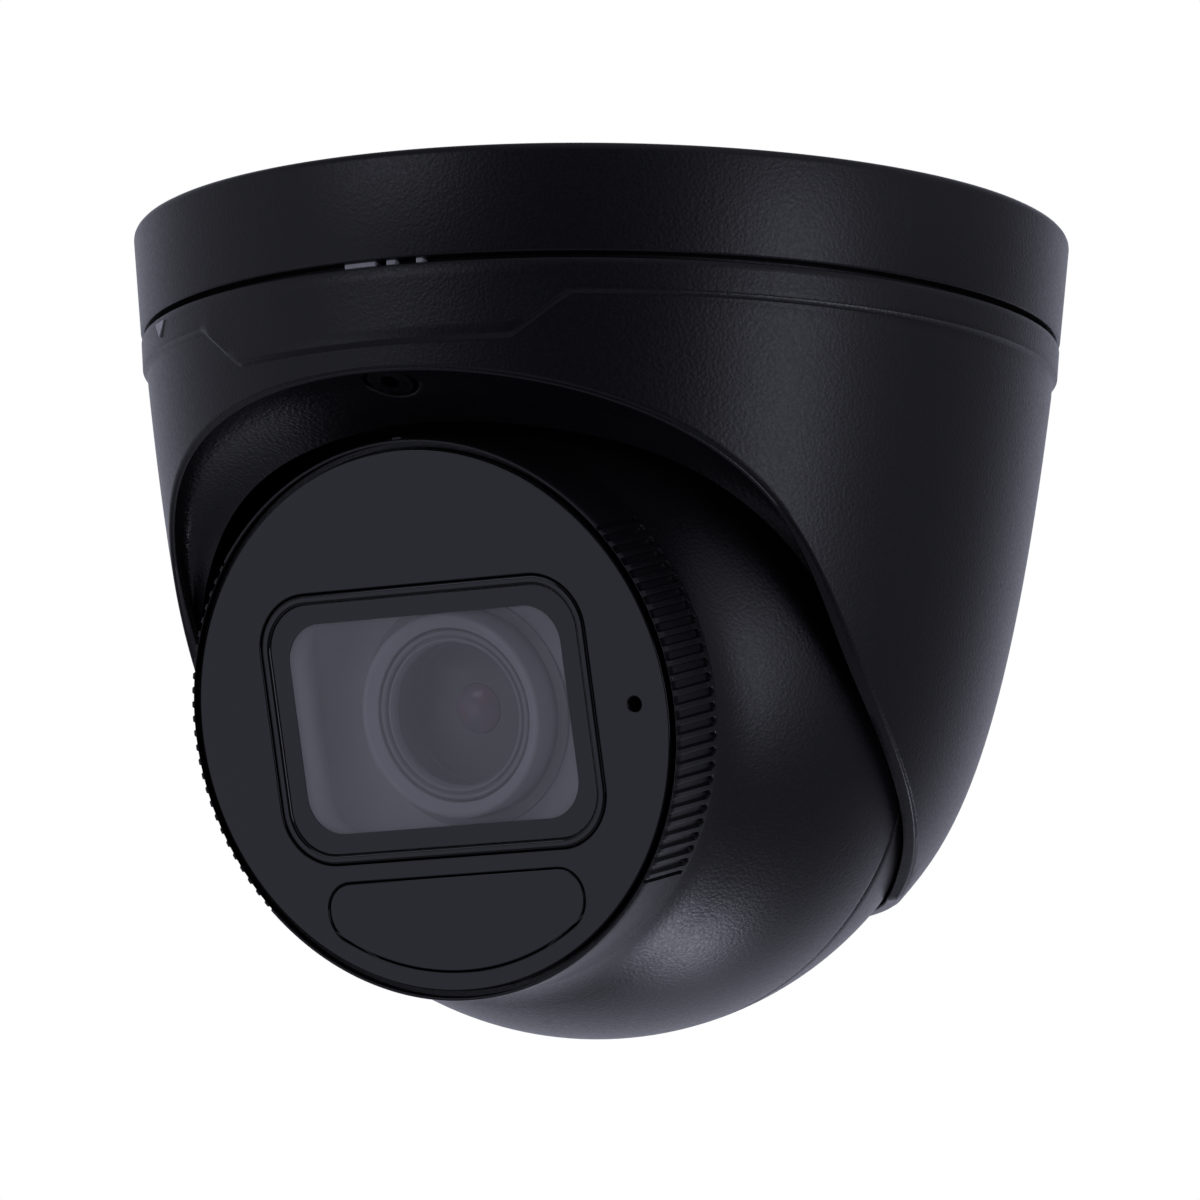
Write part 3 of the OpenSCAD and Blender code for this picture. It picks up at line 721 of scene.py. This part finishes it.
def recess_liner():
    """Grained bowl from the cover's arch in over the ball, with the locking screw's well.
    In the middle it is a sloping ceiling, and at the sides a wall that runs in and back."""
    rows = []
    for i in range(137):
        turn = -LINER_WIDEST + 2 * LINER_WIDEST * i / 136
        a = math.radians(turn)
        thin = edge_wall(a)
        z_edge = opening_height(a, thin) + 0.05
        r_edge = inner_radius(z_edge, thin) + 0.02
        side = smooth_step((abs(turn) - 8) / 38)
        z_in = z_edge - LINER_DROP + 1.2 * side
        r_in = min(math.sqrt(NECK_SWEEP_R**2 - (z_in - BALL_Z) ** 2), r_edge - 0.8)
        row = []
        for k in range(17):
            t = k / 16
            back = a + math.copysign(math.radians(3.2) * side * (1 - (1 - t) ** 2), a)
            r, z = r_edge + (r_in - r_edge) * t, z_edge + (z_in - z_edge) * t
            z = z + LINER_BOWL * t * (1 - t)
            row.append((r * math.sin(back), -r * math.cos(back), z))
        rows.append(row + [(x, y, z + LINER_THICK) for x, y, z in row[::-1]])
    body = grid("recess_liner", rows, closed_rows=False, sharp=50)
    bm = bmesh.new()
    bm.from_mesh(body.data)
    bmesh.ops.holes_fill(bm, edges=bm.edges)
    bmesh.ops.recalc_face_normals(bm, faces=bm.faces)
    bm.to_mesh(body.data)
    bm.free()
    screw = lock_place()
    cut(body, [rod(WELL_R, -6, 6, screw, 64)], 50)
    bore, floor_z, hole = WELL_R + 0.02, 4.2, 1.6
    well = lathe("lock_well", filleted(
        [(bore, 1.3), (WELL_OUT, 1.5), (WELL_OUT, WELL_TOP), (hole, WELL_TOP), (hole, floor_z),
         (bore, floor_z)],
        [0.25, 0.1, 0.3, 0.1, 0.1, 0.1]), screw, 96)
    mount(well, "cover", PLASTIC, "black_plastic")
    mount(body, "cover", COARSE, "black_plastic", "recess_panel")


def lock_place():
    """The locking screw's frame: Z runs up its axis from the recess's ceiling."""
    joint = JOINTS["lock_turn"]
    axis = Vector(joint["axis"]).normalized()
    turn = Vector((0, 0, 1)).rotation_difference(axis).to_matrix().to_4x4()
    return Matrix.Translation(joint["pos_m"]) @ turn


# ---- ball ----

BALL_WALL = 2.2
SEAM_S = ball_span("ball_rear_shell")[1]
# Where the ball's curve ends at the front, and the hole for the yoke's sleeve at the back
BLEND_S, SLEEVE_HOLE_R = 27.6, 9.0
# The grip slots: pitch and reach in degrees, the others in mm
RIB_PITCH, RIB_REACH = 3.0, 39.0
SLOT_WIDTH, SLOT_END, SLOT_FLOOR = 1.08, 34.2, 36.95
# The groove round the face
GAP_R, GAP_DEPTH = 36.95, 1.3


def slotted(r, z, degrees):
    """Radius of the neck at an angle: round-ended slots on both sides, plain at top and bottom."""
    if r < GAP_R + 0.1 or z < SLOT_END - 0.5:
        return r
    off = degrees % 180
    if min(off, 180 - off) > RIB_REACH:
        return r
    half = SLOT_WIDTH / 2
    aside = abs((degrees + RIB_PITCH / 2) % RIB_PITCH - RIB_PITCH / 2) * math.radians(1) * r
    short = max(0.0, SLOT_END + half - z)
    inside = half - math.hypot(aside, short)
    return r - (r - SLOT_FLOOR) * smooth_step(inside / 0.13 + 0.5)


def neck_angles():
    """Angles round the neck, fine where the slots are."""
    fine = [-RIB_REACH - 1 + 0.1875 * k for k in range(427)]
    plain = [fine[-1] + (180 - fine[-1] + fine[0]) * k / 60 for k in range(1, 60)]
    side = fine + plain
    return side + [a + 180 for a in side]


def ball_arc(r, start, end, steps):
    """An arc about the ball's centre between two distances along the optical axis."""
    return arc(0, 0, r, math.degrees(math.asin(start / r)), math.degrees(math.asin(end / r)), steps)


def ball_front():
    """The front shell with its slotted neck, and the small nub on top of the neck."""
    outer = ball_arc(BALL_R, SEAM_S + 0.35, BLEND_S, 40)
    inner = ball_arc(BALL_R - BALL_WALL, LEDGE_S, SEAM_S, 24)
    blend = [(39.75, 29.0), (38.95, 30.4), (38.35, 31.6), (37.9, 32.8), (37.64, 33.7)]
    ends = [(37.62 - 0.006 * k, 33.8 + 0.1 * k) for k in range(14)]
    neck = [(37.52 - 0.012 * k, 35.2 + k * (FACE_S - 0.3 - 35.2) / 10) for k in range(11)]
    rim = filleted([(37.36, FACE_S - 0.2), (37.3, FACE_S), (GAP_R, FACE_S),
                    (GAP_R, FACE_S - GAP_DEPTH), (FACE_R + 0.12, FACE_S - GAP_DEPTH),
                    (FACE_R + 0.12, PANEL_BACK), (NECK_BORE, PANEL_BACK),
                    (NECK_BORE, LEDGE_S), (38.0, LEDGE_S)],
                   [0.0, 0.15, 0.06, 0.1, 0.1, 0.0, 0.1, 0.1, 0.0], 3)
    outline = ([(BALL_R - 0.5, SEAM_S), (BALL_R - 0.12, SEAM_S + 0.1)] + outer + blend
               + ends + neck + rim + inner)
    body = lathe("ball_front_casting", outline, BALL, neck_angles(), radius=slotted, sharp=40)
    mount(body, "ball", COAT, "black_coat", "ball_front_shell")
    nub = plate("neck_nub", [rounded_rectangle(0.75, 0.3, 0.2, 4)], FACE_S - 2.2, FACE_S - 0.6,
                0.12, BALL @ Matrix.Translation((0, 37.4 * MM, 0)))
    mount(nub, "ball", COAT, "black_coat")


def ball_rear():
    """The rear shell, from the seam back to the hole for the yoke's sleeve."""
    low = -math.sqrt(BALL_R**2 - SLEEVE_HOLE_R**2)
    outer = ball_arc(BALL_R, SEAM_S - 0.35, low, 60)
    inner = ball_arc(BALL_R - BALL_WALL, -45.7, SEAM_S, 40)
    hole = [(SLEEVE_HOLE_R, -46.0), (SLEEVE_HOLE_R + 1.9, -45.8)]
    seam = [(BALL_R - 0.5, SEAM_S), (BALL_R - 0.12, SEAM_S - 0.1)]
    outline = outer + hole + inner + seam
    body = lathe("ball_rear_casting", outline, BALL, turns=288, sharp=50)
    mount(body, "ball", COAT, "black_coat", "ball_rear_shell")


# ---- face ----

FRAME_X, FRAME_Y, FRAME_CORNER = 25.0, 18.1, 7.6
CLEAR_X, CLEAR_Y, CLEAR_CORNER = 21.0, 14.1, 5.2
FRAME_WIDTH = 1.3
MIC_X, MIC_R = 31.1, 1.0
FIT = 0.12


def frame_outline(inset):
    """The lens window frame's outline, moved in."""
    return rounded_rectangle(FRAME_X - inset, FRAME_Y - inset, FRAME_CORNER - inset)


def face():
    """The face panel, and the two windows that fill its openings."""
    holes = [frame_outline(-FIT), infrared_outline(FIT), circle(MIC_R, 40, MIC_X)]
    panel = plate("face_panel_moulding", [circle(FACE_R, 240)] + holes, PANEL_BACK, FACE_S, 0.18)
    mount(panel, "ball", GLOSS, "gloss_panel", "face_panel")
    window = plate("infrared_window", [infrared_outline(-0.03)], PANEL_BACK, FACE_S - 0.05, 0.2)
    mount(window, "ball", GLOSS, "gloss_panel", "ir_window")
    bezel = plate("window_bezel", [frame_outline(0), frame_outline(FRAME_WIDTH)],
                  PANEL_BACK + 0.2, FACE_S, 0.4)
    mount(bezel, "ball", GLOSS, "gloss_panel", "window_frame")
    clear = rounded_rectangle(CLEAR_X, CLEAR_Y, CLEAR_CORNER)
    border = plate("window_border", [frame_outline(FRAME_WIDTH + FIT), clear],
                   FACE_S - 0.42, FACE_S - 0.3, 0.02)
    mount(border, "ball", GLOSS, "gloss_panel", "window_mask")
    # The pane carries a painted reflection of the room in its pale tint.
    glass = plate("window_pane", [frame_outline(FRAME_WIDTH + FIT / 2)], FACE_S - 1.0,
                  FACE_S - 0.45, 0.1)
    mount(glass, "ball", WINDOW_PAINTED_REFLECTION, "clear_glass", "lens_window")


# ---- lens ----

BORE_R, STEP_R = 9.6, 11.3
GLASS_CURVE, PUPIL_CURVE, PUPIL_R = 16.0, 6.0, 3.3


def dome_above(edge, edge_s, curve, steps):
    """A glass surface from its middle out to its edge, bulging forwards."""
    middle = edge_s - math.sqrt(curve**2 - edge**2)
    return [(curve * math.sin(a), middle + curve * math.cos(a))
            for a in np.linspace(0, math.asin(edge / curve), steps)]


def lens():
    """The lens's bezel, its stepped retaining ring, the front glass and the pupil behind it."""
    front, ring_r = LENS_FRONT, LENS_R - 2
    ring = lathe("lens_front_bezel", filleted(
        [(ring_r, LENS_LOW), (LENS_R, LENS_LOW), (LENS_R, front), (LENS_R - 0.9, front),
         (ring_r, front - 0.9)], [0.1, 0.1, 0.45, 0.2, 0.1]), BALL, 192)
    mount(ring, "ball", PALE_RING, "bare_alloy", "lens_front_ring")
    steps = filleted(
        [(BORE_R, LENS_LOW), (ring_r - 0.02, LENS_LOW), (ring_r - 0.02, front - 2.6),
         (STEP_R, front - 2.6), (STEP_R, front - 1.1), (10.75, front - 1.1), (10.6, front - 1.9),
         (10.35, front - 1.9), (10.25, front - 1.3), (9.9, front - 1.3),
         (BORE_R + 0.02, front - 1.9)],
        [0, 0, 0.05, 0.05, 0.12, 0.1, 0.03, 0.03, 0.1, 0.1, 0.05], 3)
    mount(lathe("lens_retaining_ring", steps, BALL, 192), "ball", RING_GREY, "black_plastic",
          "lens_inner_ring")
    dome = dome_above(BORE_R, front - 2.6, GLASS_CURVE, 24)
    outline = [(0, LENS_LOW + 3.6), (BORE_R, LENS_LOW + 0.4)] + dome[::-1]
    mount(lathe("front_glass", outline, BALL, 128, closed=False), "ball", LENS_GLASS,
          "clear_glass", "front_element")
    # The pupil dome: its pale pink colour is a painted reflection.
    dome = dome_above(PUPIL_R, LENS_LOW - 1.3, PUPIL_CURVE, 12)
    outline = [(0, LENS_LOW - 2.0), (PUPIL_R, LENS_LOW - 2.0)] + dome[::-1]
    mount(lathe("pupil_painted_reflection", outline, BALL, 96, closed=False), "ball", PUPIL_PAINTED_REFLECTION, "clear_glass")


# ---- camera, light and stage ----

# Angles in degrees, lengths in mm; the aim is aside and up from the origin
VIEW = dict(azimuth=31.05, elevation=-9.59, roll=0.57, aim=(0.29, -49.73), distance=1246.55)
FOCAL_LENGTH, SENSOR_WIDTH = 275.02, 36


def camera():
    """Looks up at the front from the viewer's right, through a long lens."""
    a, e, r = (math.radians(VIEW[k]) for k in ("azimuth", "elevation", "roll"))
    back = Vector((math.sin(a) * math.cos(e), -math.cos(a) * math.cos(e), math.sin(e)))
    right = Vector((math.cos(a), math.sin(a), 0))
    up = back.cross(right)
    turned = math.cos(r) * right + math.sin(r) * up
    upright = -math.sin(r) * right + math.cos(r) * up
    aside, height = VIEW["aim"]
    place = (right * aside + Vector((0, 0, height)) + back * VIEW["distance"]) * MM
    data = bpy.data.cameras.new("camera")
    data.lens = FOCAL_LENGTH
    data.sensor_width = SENSOR_WIDTH
    data.clip_start = 0.05
    data.clip_end = 20
    obj = new_object("camera", data)
    columns = Matrix((turned, upright, back)).transposed().to_4x4()
    obj.matrix_world = Matrix.Translation(place) @ columns
    bpy.context.scene.camera = obj


COOL = (0.80, 0.81, 1.0)
LIGHT_AIM = Vector((0, 0, -0.055))


def softbox(name, azimuth, elevation, distance, size, glow, colour=COOL):
    """A soft rectangular light that faces the object."""
    away = toward(azimuth, elevation)
    lamp = bpy.data.lights.new(name, "AREA")
    lamp.shape = "RECTANGLE"
    lamp.size, lamp.size_y = size
    lamp.energy = glow * math.pi * size[0] * size[1]
    lamp.color = colour
    obj = new_object(name, lamp)
    obj.location = LIGHT_AIM + away * distance
    obj.rotation_euler = (-away).to_track_quat("-Z", "Y").to_euler()
    obj.visible_camera = False


def background(tree, colour, strength):
    node = tree.nodes.new("ShaderNodeBackground")
    node.inputs["Color"].default_value = (*colour, 1)
    node.inputs["Strength"].default_value = strength
    return node


def toward(azimuth, elevation):
    """Direction from the camera body, azimuth from the front towards the viewer's right."""
    a, e = math.radians(azimuth), math.radians(elevation)
    return Vector((math.sin(a) * math.cos(e), -math.cos(a) * math.cos(e), math.sin(e)))


ROOM_LIGHT = 0.15
# Broad soft areas of the room: direction, where each is full and where it ends, and its level
ROOM_AREAS = [
    dict(azimuth=-150, elevation=-2, inner=18, outer=62, level=0.62),
    dict(azimuth=-72, elevation=4, inner=5, outer=45, level=0.16),
    dict(azimuth=100, elevation=50, inner=5, outer=70, level=0.15),
    dict(azimuth=24, elevation=-8, inner=12, outer=55, level=-0.12),
]


def room_area(tree, where, azimuth, elevation, inner, outer, level):
    """One area of the room, full inside the inner angle and gone at the outer one."""
    facing = tree.nodes.new("ShaderNodeVectorMath")
    facing.operation = "DOT_PRODUCT"
    facing.inputs[1].default_value = toward(azimuth, elevation)
    tree.links.new(where, facing.inputs[0])
    node = tree.nodes.new("ShaderNodeMapRange")
    node.interpolation_type = "SMOOTHSTEP"
    node.inputs["From Min"].default_value = math.cos(math.radians(outer))
    node.inputs["From Max"].default_value = math.cos(math.radians(inner))
    node.inputs["To Min"].default_value = 0
    node.inputs["To Max"].default_value = level
    tree.links.new(facing.outputs["Value"], node.inputs["Value"])
    return node.outputs["Result"]


def world():
    """A room with a pale backdrop, darker on the viewer's side, and white to the camera itself."""
    world = bpy.data.worlds.new("studio")
    bpy.context.scene.world = world
    world.use_nodes = True
    tree = world.node_tree
    tree.nodes.clear()
    where = tree.nodes.new("ShaderNodeTexCoord").outputs["Generated"]
    level = None
    for area in ROOM_AREAS:
        add = tree.nodes.new("ShaderNodeMath")
        add.operation = "ADD"
        add.inputs[1].default_value = ROOM_LIGHT
        tree.links.new(room_area(tree, where, **area), add.inputs[0])
        if level:
            tree.links.new(level, add.inputs[1])
        level = add.outputs["Value"]
    room = background(tree, COOL, 1.0)
    tree.links.new(level, room.inputs["Strength"])
    white = background(tree, (1, 1, 1), 1.0)
    path = tree.nodes.new("ShaderNodeLightPath")
    mix = tree.nodes.new("ShaderNodeMixShader")
    out = tree.nodes.new("ShaderNodeOutputWorld")
    tree.links.new(path.outputs["Is Camera Ray"], mix.inputs["Fac"])
    tree.links.new(room.outputs["Background"], mix.inputs[1])
    tree.links.new(white.outputs["Background"], mix.inputs[2])
    tree.links.new(mix.outputs["Shader"], out.inputs["Surface"])


def light():
    """Four soft lights. Each gets azimuth, elevation, distance and size in metres, and glow."""
    softbox("face_panel_light", -34, -19, 1.6, (0.7, 0.6), 0.55, (0.76, 0.78, 1.0))
    softbox("upper_left", -20, 15, 1.5, (0.7, 0.36), 1.5)
    softbox("right_side", 77, -5, 1.3, (0.5, 0.7), 1.9)
    softbox("under_back", 162, -65, 1.2, (0.34, 0.34), 7.5)
    world()
    bpy.context.scene.view_settings.view_transform = "Standard"


FLOOR_DROP, FLOOR_HALF = 2000, 1200


def floor():
    """A pale floor, two metres below the hanging camera."""
    low = cad_box[0].z / MM - FLOOR_DROP
    rows = [[(x * FLOOR_HALF, y * FLOOR_HALF, low) for x in (-1, 1)] for y in (-1, 1)]
    obj = grid("studio_floor", rows, closed_rows=False, closed_columns=False)
    s = Shader("floor_paint")
    s.colour(s.span(s.noise(3, 2), 0, 1), (0.68, 0.68, 0.69), (0.72, 0.72, 0.72))
    s.rough(s.noise(20), 0.6, 0.7)
    obj.data.materials.append(s.material)


camera()
dress_frame()
mounting_base()
index_ring()
dome_cover()
recess_liner()
ball_front()
ball_rear()
face()
lens()
light()
floor()
